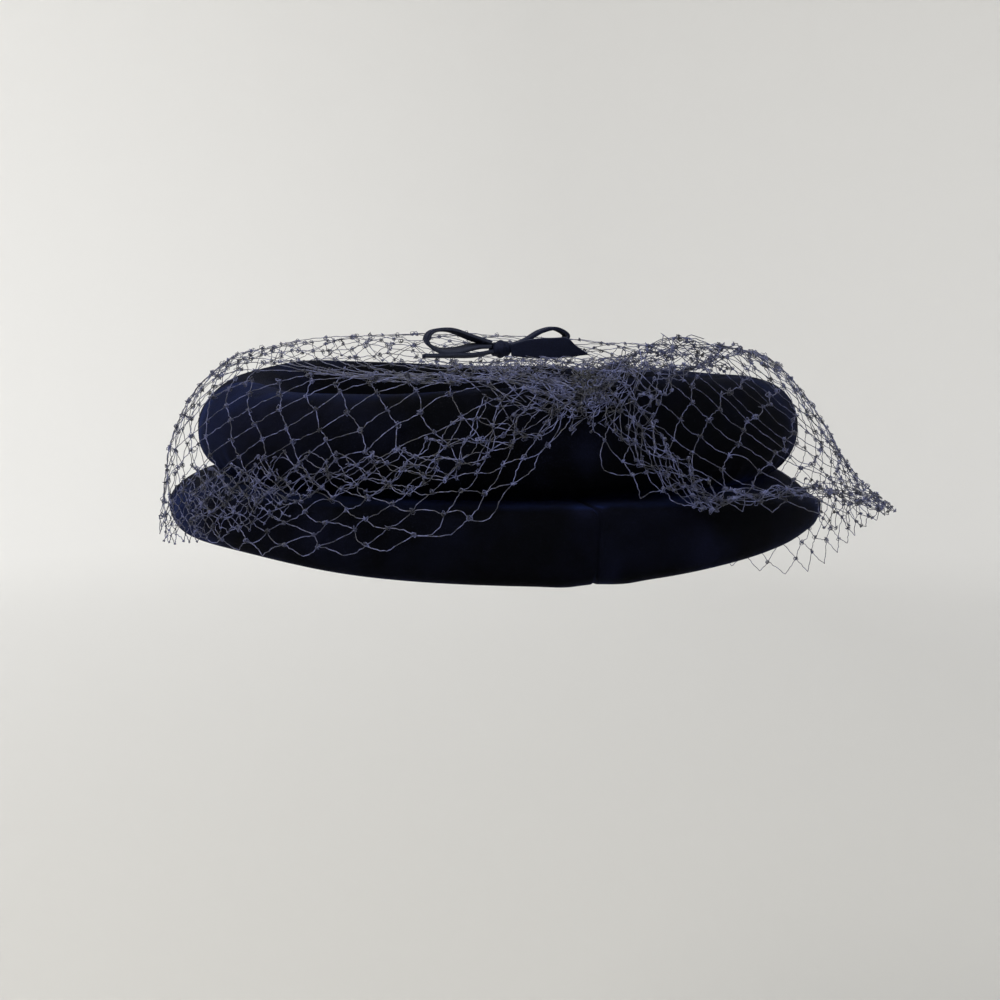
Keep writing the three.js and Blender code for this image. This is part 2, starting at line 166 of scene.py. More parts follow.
# Folds of the net that lie on it in one to three layers: each follows places on the veil, as shares across
# and along, with the fold's width there. rows is half diamonds over the width, cell the half length of a
# diamond, free_row the row whose threads bend without a knot, at a free edge.
FOLDS = {
    "left_sweep": {
        "path": [(0.03, 0.08, 8), (0.02, 0.24, 13), (0.036, 0.37, 15), (0.048, 0.527, 14), (0.061, 0.67, 12),
                 (0.079, 0.74, 11), (0.114, 0.797, 12), (0.148, 0.853, 13), (0.18, 0.90, 13)],
        "rows": 4, "cell": 4.6, "layers": 2,
    },
    "left_edge": {
        "path": [(0.008, 0.17, 6), (0.014, 0.26, 9), (0.020, 0.37, 12), (0.028, 0.48, 15), (0.032, 0.60, 18),
                 (0.037, 0.72, 20), (0.046, 0.80, 21), (0.064, 0.855, 22), (0.092, 0.885, 21),
                 (0.123, 0.905, 20), (0.150, 0.918, 17), (0.178, 0.928, 13)],
        "rows": 7, "cell": 6.2, "layers": 1, "free_row": 7,
    },
    "left_end": {
        "path": [(0.118, 0.84, 12), (0.150, 0.885, 17), (0.180, 0.925, 18), (0.205, 0.97, 12)],
        "rows": 8, "cell": 2.4, "layers": 1,
    },
    "top_left": {
        "path": [(0.20, 0.16, 10), (0.18, 0.25, 13), (0.16, 0.34, 14), (0.155, 0.42, 12)],
        "rows": 4, "cell": 4.4, "layers": 1,
    },
    "right_sweep": {
        "path": [(0.97, 0.08, 9), (0.978, 0.25, 14), (0.978, 0.41, 13), (0.971, 0.598, 11), (0.966, 0.81, 9),
                 (0.964, 0.97, 7)],
        "rows": 4, "cell": 4.4, "layers": 3,
    },
    "right_edge": {
        "path": [(0.992, 0.22, 8), (0.998, 0.34, 10), (0.998, 0.46, 11), (0.996, 0.58, 11),
                 (0.990, 0.70, 10), (0.982, 0.81, 8), (0.974, 0.92, 6)],
        "rows": 3, "cell": 4.6, "layers": 1, "free_row": 0,
    },
    "right_hem": {
        "path": [(0.966, 0.95, 4), (0.948, 0.925, 3), (0.923, 0.925, 3), (0.898, 0.905, 3),
                 (0.884, 0.935, 4), (0.866, 0.975, 5)],
        "rows": 3, "cell": 8.0, "layers": 3,
    },
    "right_top": {
        "path": [(0.965, 0.36, 5), (0.940, 0.40, 5), (0.915, 0.43, 4), (0.890, 0.46, 3)],
        "rows": 2, "cell": 4.0, "layers": 2,
    },
    "right_ridge": {
        "path": [(0.80, 0.10, 8), (0.77, 0.22, 13), (0.80, 0.34, 14), (0.85, 0.40, 12)],
        "rows": 4, "cell": 5.0, "layers": 1,
    },
    "right_wing": {
        "path": [(0.70, 0.88, 14), (0.74, 0.90, 18), (0.78, 0.91, 18), (0.82, 0.94, 13), (0.85, 0.97, 8)],
        "rows": 5, "cell": 4.6, "layers": 1,
    },
}
LAYER_STEP = 0.6  # from one layer of a fold to the next

# The net drawn together at the gather: layers of small cells over the ends of the flaps and the space
# between them, threads that run out from it, small curls, and the sewing thread that holds it
GATHERED = {
    "flap_ribs": 40, "between": 16, "places": 90, "layers": 2, "columns": 24, "rows": 12, "step": 0.8,
}
TANGLE = {"threads": 50, "points": 18, "lift": 2.6, "curls": 64}
OVER_TOP = {"threads": 34, "curls": 50, "from": 5.0, "to": 24.0, "lift": 4.0}
TIE = {"threads": 12, "points": 16, "half_width": 2.4, "from_z": 55.0, "to_z": 41.0}
rng = np.random.default_rng(7)


# Colour and nodes

def linear(hex_colour):
    """sRGB hex to a linear RGBA colour: the sRGB curve undone for each channel."""
    parts = [int(hex_colour[k:k + 2], 16) / 255 for k in (1, 3, 5)]
    return (*[c / 12.92 if c <= 0.04045 else ((c + 0.055) / 1.055) ** 2.4 for c in parts], 1.0)


def add_node(tree, kind, inputs=None, **settings):
    """Adds a node with its settings, and sets or links its inputs, each named or numbered."""
    made = tree.nodes.new(kind)
    for name, value in settings.items():
        setattr(made, name, value)
    for name, value in (inputs or {}).items():
        if isinstance(value, bpy.types.NodeSocket):
            tree.links.new(value, made.inputs[name])
        else:
            made.inputs[name].default_value = value
    return made


def new_material(name):
    """An empty node material with its output, and the tree that the finish is built in."""
    material = bpy.data.materials.new(name)
    material.use_nodes = True
    tree = material.node_tree
    tree.nodes.clear()
    return material, tree, add_node(tree, "ShaderNodeOutputMaterial")


# Meshes

def new_piece(name, points, faces, materials, slots=None):
    """A mesh object of points in millimetres, with arrays of faces of three or four corners, smooth shaded.
    slots gives each face's material, in the order of the arrays."""
    mesh = bpy.data.meshes.new(name)
    corners = np.concatenate([block.ravel() for block in faces])
    sizes = np.concatenate([np.full(len(block), block.shape[1]) for block in faces])
    starts = np.concatenate([[0], np.cumsum(sizes)[:-1]])
    mesh.vertices.add(len(points))
    mesh.vertices.foreach_set("co", (points * MM).astype(np.float32).ravel())
    mesh.loops.add(len(corners))
    mesh.loops.foreach_set("vertex_index", corners.astype(np.int32))
    mesh.polygons.add(len(sizes))
    mesh.polygons.foreach_set("loop_start", starts.astype(np.int32))
    mesh.polygons.foreach_set("use_smooth", np.ones(len(sizes), dtype=bool))
    if slots is not None:
        mesh.polygons.foreach_set("material_index", slots.astype(np.int32))
    mesh.update(calc_edges=True)
    mesh.validate()
    for material in materials:
        mesh.materials.append(material)
    made = bpy.data.objects.new(name, mesh)
    bpy.context.scene.collection.objects.link(made)
    return made


def dress(piece, slot, *nodes):
    """The piece rides on the hat's one body and stands for the CAD nodes. slot is not used."""
    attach(piece, "root")
    if nodes:
        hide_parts(*nodes)
    return piece


def grid_faces(rows, columns, wrap_rows=False, wrap_columns=False):
    """The four-cornered faces of a grid of points, rows by columns, closed on itself where it wraps."""
    last_row = rows if wrap_rows else rows - 1
    last_column = columns if wrap_columns else columns - 1
    i, j = np.meshgrid(np.arange(last_row), np.arange(last_column), indexing="ij")
    after_i, after_j = (i + 1) % rows, (j + 1) % columns
    corners = [i * columns + j, after_i * columns + j, after_i * columns + after_j, i * columns + after_j]
    return np.stack(corners, axis=-1).reshape(-1, 4)


def unit(vectors):
    """Vectors of length one, along the last axis."""
    return vectors / np.maximum(np.linalg.norm(vectors, axis=-1, keepdims=True), 1e-9)


def tubes(paths, reference, radius, sides=3, is_ring=False):
    """Round threads along many paths at once: at each point the section is the circle
    radius (cos a, sin a) on two directions square to the path, the first of them square to the reference.
    paths is threads by points by 3, reference threads by 3 or by points by 3, radius a number or threads by
    points. Returns the points and the arrays of faces, with the ends closed unless the thread is a ring."""
    count, steps = paths.shape[:2]
    if is_ring:
        along = np.roll(paths, -1, axis=1) - np.roll(paths, 1, axis=1)
    else:
        along = np.gradient(paths, axis=1)
    reference = reference[:, None, :] if reference.ndim == 2 else reference
    first = unit(np.cross(along, np.broadcast_to(reference, paths.shape)))
    second = unit(np.cross(along, first))
    angle = 2 * np.pi * np.arange(sides) / sides
    thick = np.broadcast_to(radius, (count, steps))[:, :, None, None]
    ring = first[:, :, None] * np.cos(angle)[:, None] + second[:, :, None] * np.sin(angle)[:, None]
    points = (paths[:, :, None] + thick * ring).reshape(-1, 3)
    one = grid_faces(steps, sides, wrap_rows=is_ring, wrap_columns=True)
    base = (np.arange(count) * steps * sides)[:, None, None]
    faces = [(one[None] + base).reshape(-1, 4)]
    if not is_ring:
        start = np.arange(sides)
        end = (steps - 1) * sides + np.arange(sides)[::-1]
        faces.append((np.stack([start, end])[None] + base).reshape(-1, sides))
    return points, faces


def joined(blocks):
    """One array of points and one list of face arrays from several of each."""
    points, faces, base = [], [], 0
    for block_points, block_faces in blocks:
        points.append(block_points)
        faces += [block + base for block in block_faces]
        base += len(block_points)
    return np.concatenate(points), faces


# The hat's own curves

def cubic(a, b, c, d, t):
    """Smooth cubic through four values in a row, at t from the second to the third."""
    s = t * t * (3 - 2 * t)
    return b + (c - b) * s + (c - a) / 2 * t * (1 - t) ** 2 - (d - b) / 2 * t * t * (1 - t)


def height_at(column, azimuth):
    """One column of HEIGHTS at each azimuth: the cubic through the four rows around it, all the way
    round."""
    start = HEIGHTS[0, 0]
    turned = np.mod(azimuth - start, 360) + start
    row = np.searchsorted(HEIGHTS[:, 0], turned, side="right") - 1
    count = len(HEIGHTS)
    ends = np.append(HEIGHTS[1:, 0], start + 360)
    share = (turned - HEIGHTS[row, 0]) / (ends[row] - HEIGHTS[row, 0])
    return cubic(*[HEIGHTS[(row + k) % count, column] for k in (-1, 0, 1, 2)], share)


def cuff_section(azimuth):
    """The cuff's rounded section: middle radius and height, half sizes, squareness, lean of its top."""
    rim, top = height_at(RIM, azimuth), CUFF["inner_top"]
    dip = SEAM["dip"] * np.exp(-((azimuth - SEAM["azimuth"]) / SEAM["width"]) ** 2)
    radius = CUFF["outer"] - dip - CUFF["depth"] / 2
    lean = top - height_at(CUFF_TOP, azimuth)
    return radius, (top + rim) / 2, CUFF["depth"] / 2, (top - rim) / 2, height_at(SQUARE, azimuth), lean


def crown_section(azimuth):
    """The crown's rounded section, in the same order."""
    top, bottom = height_at(CROWN_TOP, azimuth), CUFF["inner_top"] + GAP
    radius = np.full_like(top, CROWN["outer"] - CROWN["depth"] / 2)
    none = np.zeros_like(top)
    return radius, (top + bottom) / 2, CROWN["depth"] / 2, (top - bottom) / 2, CROWN["power"] + none, none


def on_plan(radius, azimuth, height, shift_x=0.0):
    """(r cos a + shift, (r + longer) sin a, z): a place on the hat's oval plan."""
    angle = np.radians(azimuth)
    x = radius * np.cos(angle) + shift_x
    return np.stack([x, (radius + LONGER) * np.sin(angle), height + 0 * x], axis=-1)


def push_out(points, section_at, shift_x, clearance):
    """Moves points straight out of a roll from the middle of its section, onto the section grown by the
    clearance, where |out|^p + |up|^p is below 1."""
    azimuth = np.degrees(np.arctan2(points[..., 1], points[..., 0] - shift_x))
    radius, height, half_r, half_z, power, _ = section_at(azimuth)
    angle = np.radians(azimuth)
    distance = np.hypot(points[..., 0] - shift_x, points[..., 1]) - LONGER * np.sin(angle) ** 2
    out = (distance - radius) / (half_r + clearance)
    up = (points[..., 2] - height) / (half_z + clearance)
    reach = (np.abs(out) ** power + np.abs(up) ** power) ** (1 / power)
    grow = np.where(reach < 1, 1 / np.maximum(reach, 0.05) - 1, 0)
    moved = (distance - radius) * grow
    shift = np.stack([
        moved * np.cos(angle), moved * np.sin(angle), (points[..., 2] - height) * grow,
    ], axis=-1)
    return points + shift


def clear_of_velvet(points, clearance=VEIL_CLEARANCE):
    """Points moved clear of the cuff and then of the crown."""
    off_cuff = push_out(points, cuff_section, 0.0, clearance)
    return push_out(off_cuff, crown_section, CROWN["shift_x"], clearance)


def catmull_rom(knots, steps):
    """Centripetal Catmull-Rom curve through knots (..., n, 3), with steps even shares of its parameter. Each
    stretch is a cubic whose end slopes weigh the neighbours by the square roots of their distances."""
    count = knots.shape[-2]
    before = 2 * knots[..., :1, :] - knots[..., 1:2, :]
    after = 2 * knots[..., -1:, :] - knots[..., -2:-1, :]
    whole = np.concatenate([before, knots, after], axis=-2)
    share = np.linspace(0, count - 1, steps)
    row = np.minimum(share.astype(int), count - 2)
    t = (share - row)[:, None]
    p0, p1, p2, p3 = [whole[..., row + k, :] for k in range(4)]
    d0, d1, d2 = [
        np.sqrt(np.linalg.norm(b - a, axis=-1, keepdims=True)) for a, b in ((p0, p1), (p1, p2), (p2, p3))
    ]
    slope1 = ((p1 - p0) / d0 - (p2 - p0) / (d0 + d1) + (p2 - p1) / d1) * d1
    slope2 = ((p2 - p1) / d1 - (p3 - p1) / (d1 + d2) + (p3 - p2) / d2) * d1
    return (p1 * (2 * t ** 3 - 3 * t ** 2 + 1) + slope1 * (t ** 3 - 2 * t ** 2 + t)
            + p2 * (3 * t ** 2 - 2 * t ** 3) + slope2 * (t ** 3 - t ** 2))


def even_lengths(curves, steps):
    """Curves (n, m, 3) resampled so that each has its points at even lengths, and the lengths up to each of
    the old points."""
    lengths = np.concatenate([
        np.zeros((len(curves), 1)),
        np.cumsum(np.linalg.norm(np.diff(curves, axis=1), axis=-1), axis=1),
    ], axis=1)
    wanted = np.linspace(0, 1, steps)
    made = np.empty((len(curves), steps, 3))
    for row, (curve, length) in enumerate(zip(curves, lengths)):
        for axis in range(3):
            made[row, :, axis] = np.interp(wanted * length[-1], length, curve[:, axis])
    return made, lengths


# The velvet

def smooth_noise(u, v, waves, seed, period_u=None):
    """A sum of random slow waves over u and v, about -1 to 1. With period_u the waves close round u."""
    random = np.random.default_rng(seed)
    total = np.zeros(np.broadcast(u, v).shape)
    for _ in range(waves):
        fu, fv = random.normal(0, 1, 2)
        if period_u is not None:
            fu = np.round(fu * 4) / 4
        total += np.sin(fu * u + fv * v + random.uniform(0, 2 * np.pi))
    return total / np.sqrt(waves)


def velvet_roll(section_at, shift_x, angles, pucker, patches):
    """A hollow roll, open towards the head. The outer side of the section goes from one angle to the other,
    the inner side comes back a wall's thickness further in, and both are carried round the oval plan:
    radius + (half - inset) sgn|cos|^(2/p), height + (half - inset) sgn|sin|^(2/p) - lean. Also how much
    lighter the velvet is drawn at each point, the sum of a bell over each patch: patches where the pile lies
    another way, and a broad patch of painted light over the wearer's left end."""
    beside_seam = SEAM["azimuth"] + np.linspace(-6, 6, VELVET_STEPS["at_seam"])
    azimuth = np.unique(np.concatenate([
        np.linspace(0, 360, VELVET_STEPS["round"], endpoint=False), beside_seam,
    ]))
    outer = np.linspace(*angles, VELVET_STEPS["section"])
    angle = np.concatenate([outer, outer[::-1]])
    inset = np.repeat([0.0, WALL], VELVET_STEPS["section"])
    radius, height, half_r, half_z, power, lean = [
        np.broadcast_to(value, azimuth.shape)[:, None] for value in section_at(azimuth)
    ]
    c, s = np.cos(np.radians(angle)), np.sin(np.radians(angle))
    across = np.sign(c) * np.abs(c) ** (2 / power)
    up = np.sign(s) * np.abs(s) ** (2 / power)
    swell = pucker(azimuth[:, None], angle[None]) * (1 - inset / WALL)
    leaning = np.maximum(0, across) ** 2 * np.maximum(0, up) * lean
    r = radius + (half_r - inset + swell) * across
    z = height + (half_z - inset + swell) * up - leaning
    points = on_plan(r, azimuth[:, None], z, shift_x).reshape(-1, 3)
    nap_and_painted_light = sum(
        np.exp(-((azimuth[:, None] - at) / half) ** 2 - ((angle[None] - turn) / half_turn) ** 2)
        for at, turn, half, half_turn in patches
    )
    return points, [grid_faces(len(azimuth), len(angle), True, True)[:, ::-1]], nap_and_painted_light.ravel()


def velvet_piece(name, node, velvet, *roll):
    """A roll as a piece that stands for its CAD node, with its lighter patches in an attribute that the
    velvet
    reads: where the pile lies another way, and painted light over the wearer's left end.
    """
    points, faces, nap_and_painted_light = velvet_roll(*roll)
    made = dress(new_piece(name, points, faces, [velvet]), "velvet", node)
    made.data.attributes.new("nap_and_painted_light", "FLOAT", "POINT").data.foreach_set("value", nap_and_painted_light.astype(np.float32))
    return made


VELVET_STEPS = {"round": 480, "section": 44, "at_seam": 72}

# Where the velvet is drawn lighter: azimuth, angle round the section, half sizes of both. The small
# patches are where the pile lies another way. The broad last one of each table is painted light over the
# wearer's left end.
CUFF_NAP_AND_PAINTED_LIGHT = [
    (92.9, -38.0, 1.5, 28.0), (88.9, 62.0, 1.8, 20.0), (92.0, 64.0, 0.9, 14.0), (109.0, -14.0, 3.4, 26.0),
    (60.0, -50.0, 6.0, 20.0), (5.0, 0.0, 40.0, 60.0),
]
CROWN_NAP_AND_PAINTED_LIGHT = [(89.5, -12.0, 2.2, 18.0), (128.0, -70.0, 8.0, 14.0), (8.0, 30.0, 38.0, 70.0)]


def crown_pucker(azimuth, angle):
    """How far the crown's velvet swells: slow waves round the roll, and short creases where it is drawn in
    under the roll against the cuff."""
    turn, roll = np.radians(azimuth), np.radians(angle)
    slow = 0.45 * smooth_noise(6 * turn, 2.2 * roll, 7, 11, 1)
    under = np.exp(-((angle + 55) / 28) ** 2)
    creases = 0.35 * under * smooth_noise(46 * turn, 1.5 * roll, 6, 12, 1)
    seated = np.exp(-((angle + 94) / 18) ** 2)
    return (slow + creases) * (1 - seated) + 0.9 * seated


def cuff_pucker(azimuth, angle):
    """How far the cuff's velvet swells: slow waves, a soft roll on both sides of the back seam and the
    seam's own narrow groove."""
    turn, roll = np.radians(azimuth), np.radians(angle)
    beside = np.exp(-((np.abs(azimuth - SEAM["azimuth"]) - 5) / 3) ** 2)
    groove = np.exp(-((azimuth - SEAM["azimuth"] - 0.3 * np.sin(3 * roll)) / 0.35) ** 2)
    seated = np.exp(-((angle - 108) / 20) ** 2)
    waves = 0.3 * smooth_noise(5 * turn, 2 * roll, 7, 21, 1) + 0.3 * beside - 0.6 * groove
    return waves * (1 - seated) + 0.35 * seated


def velvet_material():
    """Silk velvet, dyed navy and brushed: a deep upright pile that drinks light when looked into. The blue
    bloom where it is seen along the surface is painted sheen, a lighter blue mixed into the colour by the
    facing angle. The lighter patches are partly where the pile lies another way and partly painted light."""
    material, tree, output = new_material("silk_velvet_navy")
    place = add_node(tree, "ShaderNodeTexCoord").outputs["Object"]
    # The attribute makes the velvet lighter where the pile lies another way, and over the wearer's left end,
    # where it is painted light
    pile_and_painted_light = add_node(tree, "ShaderNodeAttribute", attribute_name="nap_and_painted_light").outputs["Fac"]
    patches = add_node(tree, "ShaderNodeTexNoise", {"Vector": place, "Scale": 60.0, "Detail": 4.0})
    broken = add_node(tree, "ShaderNodeMath", {
        0: pile_and_painted_light, 1: patches.outputs["Fac"],
    }, operation="MULTIPLY_ADD")
    tree.links.new(patches.outputs["Fac"], broken.inputs[2])
    nap_and_painted_light = add_node(tree, "ShaderNodeMapRange", {
        "Value": broken.outputs["Value"], "From Min": 0.46, "From Max": 1.05, "To Min": 0.0, "To Max": 1.0,
    })
    # The pile's tips are 0.1 mm apart, drawn at 0.35 mm so that they show
    pile = add_node(tree, "ShaderNodeTexNoise", {"Vector": place, "Scale": 2800.0, "Detail": 2.0})
    into = add_node(tree, "ShaderNodeMix", {
        "Factor": nap_and_painted_light.outputs["Result"], "A": linear("#010206"), "B": linear("#0a0d1e"),
    }, data_type="RGBA")
    # Painted sheen: where the surface is seen edge-on, the colour turns to a lighter blue
    facing = add_node(tree, "ShaderNodeLayerWeight", {"Blend": 0.5})
    edge = add_node(tree, "ShaderNodeMapRange", {
        "Value": facing.outputs["Facing"], "From Min": 0.5, "From Max": 1.0, "To Min": 0.0, "To Max": 1.0,
    }, interpolation_type="SMOOTHSTEP")
    painted_sheen = add_node(tree, "ShaderNodeMix", {
        "Factor": nap_and_painted_light.outputs["Result"], "A": linear("#060914"), "B": linear("#15224c"),
    }, data_type="RGBA")
    mixed = add_node(tree, "ShaderNodeMix", {
        "Factor": edge.outputs["Result"], "A": into.outputs["Result"], "B": painted_sheen.outputs["Result"],
    }, data_type="RGBA")
    grain = add_node(tree, "ShaderNodeMix", {
        "Factor": pile.outputs["Fac"], "A": linear("#606068"), "B": linear("#ffffff"),
    }, data_type="RGBA")
    colour = add_node(tree, "ShaderNodeMix", {
        "Factor": 1.0, "A": mixed.outputs["Result"], "B": grain.outputs["Result"],
    }, data_type="RGBA", blend_type="MULTIPLY")
    bump = add_node(tree, "ShaderNodeBump", {
        "Height": pile.outputs["Fac"], "Strength": 0.4, "Distance": 0.0003,
    })
    shader = add_node(tree, "ShaderNodeBsdfPrincipled", {
        "Base Color": colour.outputs["Result"], "Roughness": 0.9, "Specular IOR Level": 0.03,
        "Sheen Weight": 0.04, "Sheen Roughness": 0.22, "Sheen Tint": linear("#2c4cc0"),
        "Normal": bump.outputs["Normal"],
    })
    tree.links.new(shader.outputs["BSDF"], output.inputs["Surface"])
    return material


# The veil

def veil_grid(columns, rows):
    """The veil's middle surface on a grid, across from flap to flap and along from the gather to the hem,
    and each rib's length to the top's edge and to the hem. Each rib leaves an oval round the gather
    and passes through a sagging middle point and the three places of its row in RIBS. The hem is
    ruffled by height along^3 sin(2 pi count across)."""
    across = np.linspace(0, 1, columns)
    last = len(RIBS) - 1
    row = np.minimum((across * last).astype(int), last - 1)
    share = (across * last - row)[:, None]
    at = [RIBS[np.clip(row + k, 0, last)] for k in (-1, 0, 1, 2)]
    sag, top_az, top_r, top_z, side_az, side_r, side_z, hem_az, hem_r, hem_z = cubic(*at, share).T
    angle = np.radians(GATHER_FROM + GATHER_TURN * across)
    start = np.stack([
        GATHER["x"] + GATHER["half_width"] * np.cos(angle),
        GATHER["y"] + GATHER["half_depth"] * np.sin(angle),
        GATHER["z"] - GATHER["back_drop"] * np.maximum(0, np.sin(angle)),
    ], axis=-1)
    top = on_plan(top_r, top_az, top_z)
    middle = (start + top) / 2 - sag[:, None] * np.array([0, 0, 1])
    knots = np.stack([
        start, middle, top, on_plan(side_r, side_az, side_z), on_plan(hem_r, hem_az, hem_z),
    ], axis=1)
    grid, lengths = even_lengths(catmull_rom(knots, 201), rows)
    along = np.linspace(0, 1, rows)
    outwards = unit(grid * np.array([1, 1, 0]))
    wave = RUFFLE["height"] * along ** 3 * np.sin(2 * np.pi * RUFFLE["count"] * across[:, None])
    halfway = lengths.shape[1] // 2
    return clear_of_velvet(grid + outwards * wave[..., None]), lengths[:, halfway], lengths[:, -1]


def grid_normals(grid):
    """The outward normals of a surface's grid."""
    slope_across, slope_along = np.gradient(grid, axis=0), np.gradient(grid, axis=1)
    return unit(np.cross(slope_across, slope_along))


def on_grid(grid, u, v):
    """A grid's values at u and v from 0 to 1, mixed from the four corners around each."""
    rows, columns = grid.shape[:2]
    x, y = np.clip(u, 0, 1) * (rows - 1), np.clip(v, 0, 1) * (columns - 1)
    i, j = np.minimum(x.astype(int), rows - 2), np.minimum(y.astype(int), columns - 2)
    s, t = (x - i)[..., None], (y - j)[..., None]
    near = grid[i, j] * (1 - t) + grid[i, j + 1] * t
    far = grid[i + 1, j] * (1 - t) + grid[i + 1, j + 1] * t
    return near * (1 - s) + far * s


def strands(start, end, place, bow, crinkle=0.1):
    """Threads between pairs of knots. start and end hold each one's two surface coordinates and its lift.
    A thread is the straight line between them on the surface, bowed by a half sine in proportion to
    its length and crinkled by two shorter ones, each with its own size and phase."""
    count = len(start)
    t = np.linspace(0, 1, STRAND_POINTS)
    where = start[:, None] * (1 - t)[:, None] + end[:, None] * t[:, None]
    points, normals = place(where)
    chord = points[:, -1] - points[:, 0]
    length = np.linalg.norm(chord, axis=-1, keepdims=True)
    sideways = unit(np.cross(chord, normals.mean(axis=1)))
    fade = np.sin(np.pi * t)
    phase = rng.uniform(0, 2 * np.pi, (count, 4, 1))
    arc = rng.normal(0, bow, (count, 1)) * length * fade
    rough = np.sin(2 * np.pi * 2.3 * t + phase[:, 0]) + 0.7 * np.sin(2 * np.pi * 3.7 * t + phase[:, 1])
    rough = crinkle * rough
    lift = np.sin(2 * np.pi * 1.9 * t + phase[:, 2]) + 0.7 * np.sin(2 * np.pi * 3.1 * t + phase[:, 3])
    lift = crinkle * lift
    softened = np.minimum(1, 3 * fade)
    points = points + (arc + rough * softened)[..., None] * sideways[:, None]
    points = points + (lift * softened)[..., None] * normals
    return points, normals


def tufts(centres, scale):
    """Knots of the net: small rings of thread in random planes round each centre, like a tight bud."""
    count = len(centres)
    loops, steps = TUFT["loops"], TUFT["points"]
    axis_a = unit(rng.normal(size=(count, loops, 3)))
    axis_b = unit(np.cross(axis_a, rng.normal(size=(count, loops, 3))))
    angle = 2 * np.pi * np.arange(steps) / steps
    size = scale * TUFT["radius"] * rng.uniform(0.55, 1.15, (count, loops, 1, 1))
    wobble = rng.uniform(0.75, 1.2, (count, loops, steps, 1))
    ring = axis_a[:, :, None] * np.cos(angle)[:, None] + axis_b[:, :, None] * np.sin(angle)[:, None]
    offset = rng.normal(0, scale * TUFT["spread"], (count, loops, 1, 3))
    paths = centres[:, None, None] + offset + size * wobble * ring
    return paths.reshape(-1, steps, 3), np.cross(axis_a, axis_b).reshape(-1, 3)


def knotted(nodes, links, place, is_bare=None, scale=1.0, bow=0.05):
    """The threads and knots of a piece of net. nodes holds each knot's surface coordinates and lift,
    links the pairs of knots that a thread joins, is_bare the places where a thread bends without a
    knot, scale the size of the knots and bow how far the threads curve."""
    paths, normals = strands(nodes[links[:, 0]], nodes[links[:, 1]], place, bow)
    threads = tubes(paths, normals, THREAD / 2)
    used = np.unique(links)
    if is_bare is not None:
        used = used[~is_bare[used]]
    centres, _ = place(nodes[used])
    rings, planes = tufts(centres, scale)
    return [threads, tubes(rings, planes, TUFT["thread"] / 2, is_ring=True)]


def diamond_lattice(first, last):
    """The knots of diamonds in half steps, i across and j up, those with i + j even, and the threads from
    each to its two neighbours in the next row. first and last give the rows of each column."""
    columns, tallest = len(last), int(last.max()) + 1
    i, j = np.meshgrid(np.arange(columns), np.arange(tallest), indexing="ij")
    kept = ((i + j) % 2 == 0) & (j >= first[:, None]) & (j <= last[:, None])
    number = np.full(kept.shape, -1)
    number[kept] = np.arange(kept.sum())
    rising, falling = np.full(kept.shape, -1), np.full(kept.shape, -1)
    rising[:-1, :-1] = number[1:, 1:]
    falling[1:, :-1] = number[:-1, 1:]
    links = []
    for there in (rising, falling):
        both = (number >= 0) & (there >= 0)
        links.append(np.stack([number[both], there[both]], axis=-1))
    return i[kept], j[kept], np.concatenate(links)


def veil_place(grid, normals):
    """Turns shares across and along and a lift into points on the veil, and its normals there."""
    def place(where):
        out = unit(on_grid(normals, where[..., 0], where[..., 1]))
        base = on_grid(grid, where[..., 0], where[..., 1])
        return base + out * np.maximum(where[..., 2:], -0.5), out
    return place


def hung_net(top_lengths, lengths, columns, half_height, from_hem):
    """The knots and threads of the close net, which hangs from the top's edge to the hem, or of the wide net
    over the open top. Diamonds are in rows up from the hem. A knot's place across is its column's share,
    jittered, and its place along is one less its row's height over the rib's length. What would lie past the
    turn of a flap is left out. Also which knots are at the hem."""
    across_of = np.linspace(0, 1, columns + 1)
    shares = np.linspace(0, 1, len(lengths))
    rib_length, top_length = np.interp(across_of, shares, lengths), np.interp(across_of, shares, top_lengths)
    is_top = (across_of > TOP_RIBS[0]) & (across_of < TOP_RIBS[1])
    from_edge = np.minimum(across_of, 1 - across_of) / TOP_RIBS[0]
    side_clear = GATHER_CLEAR[0] + (GATHER_CLEAR[1] - GATHER_CLEAR[0]) * np.minimum(1, from_edge) ** 2
    if from_hem:
        first = 0 * rib_length
        last = (rib_length - np.where(is_top, top_length - TOP_OVERLAP, side_clear)) // half_height
    else:
        first = np.where(is_top, (rib_length - top_length - TOP_OVERLAP) // half_height, 1e6)
        last = (rib_length - TOP_CLEAR) // half_height
    i, j, links = diamond_lattice(first, last)
    inside = (i > 0) & (i < columns)
    across = (i + inside * rng.normal(0, 0.16, len(i))) / columns
    height = j * half_height + rng.normal(0, 0.16 * half_height, len(i)) * (j > 0)
    along = 1 - height / rib_length[i]
    lift = 0.6 * smooth_noise(22 * across, 12 * along, 9, 31) + rng.normal(0, 0.3, len(i))
    past_left = (across < LEFT_TURN[-1, 0]) & (along > np.interp(across, *LEFT_TURN.T))
    past_right = across > np.interp(along, *RIGHT_TURN[:, ::-1].T)
    gone = past_left | past_right
    kept = ~(gone[links[:, 0]] & gone[links[:, 1]])
    return np.stack([across, along, lift], axis=-1), links[kept], j == 0


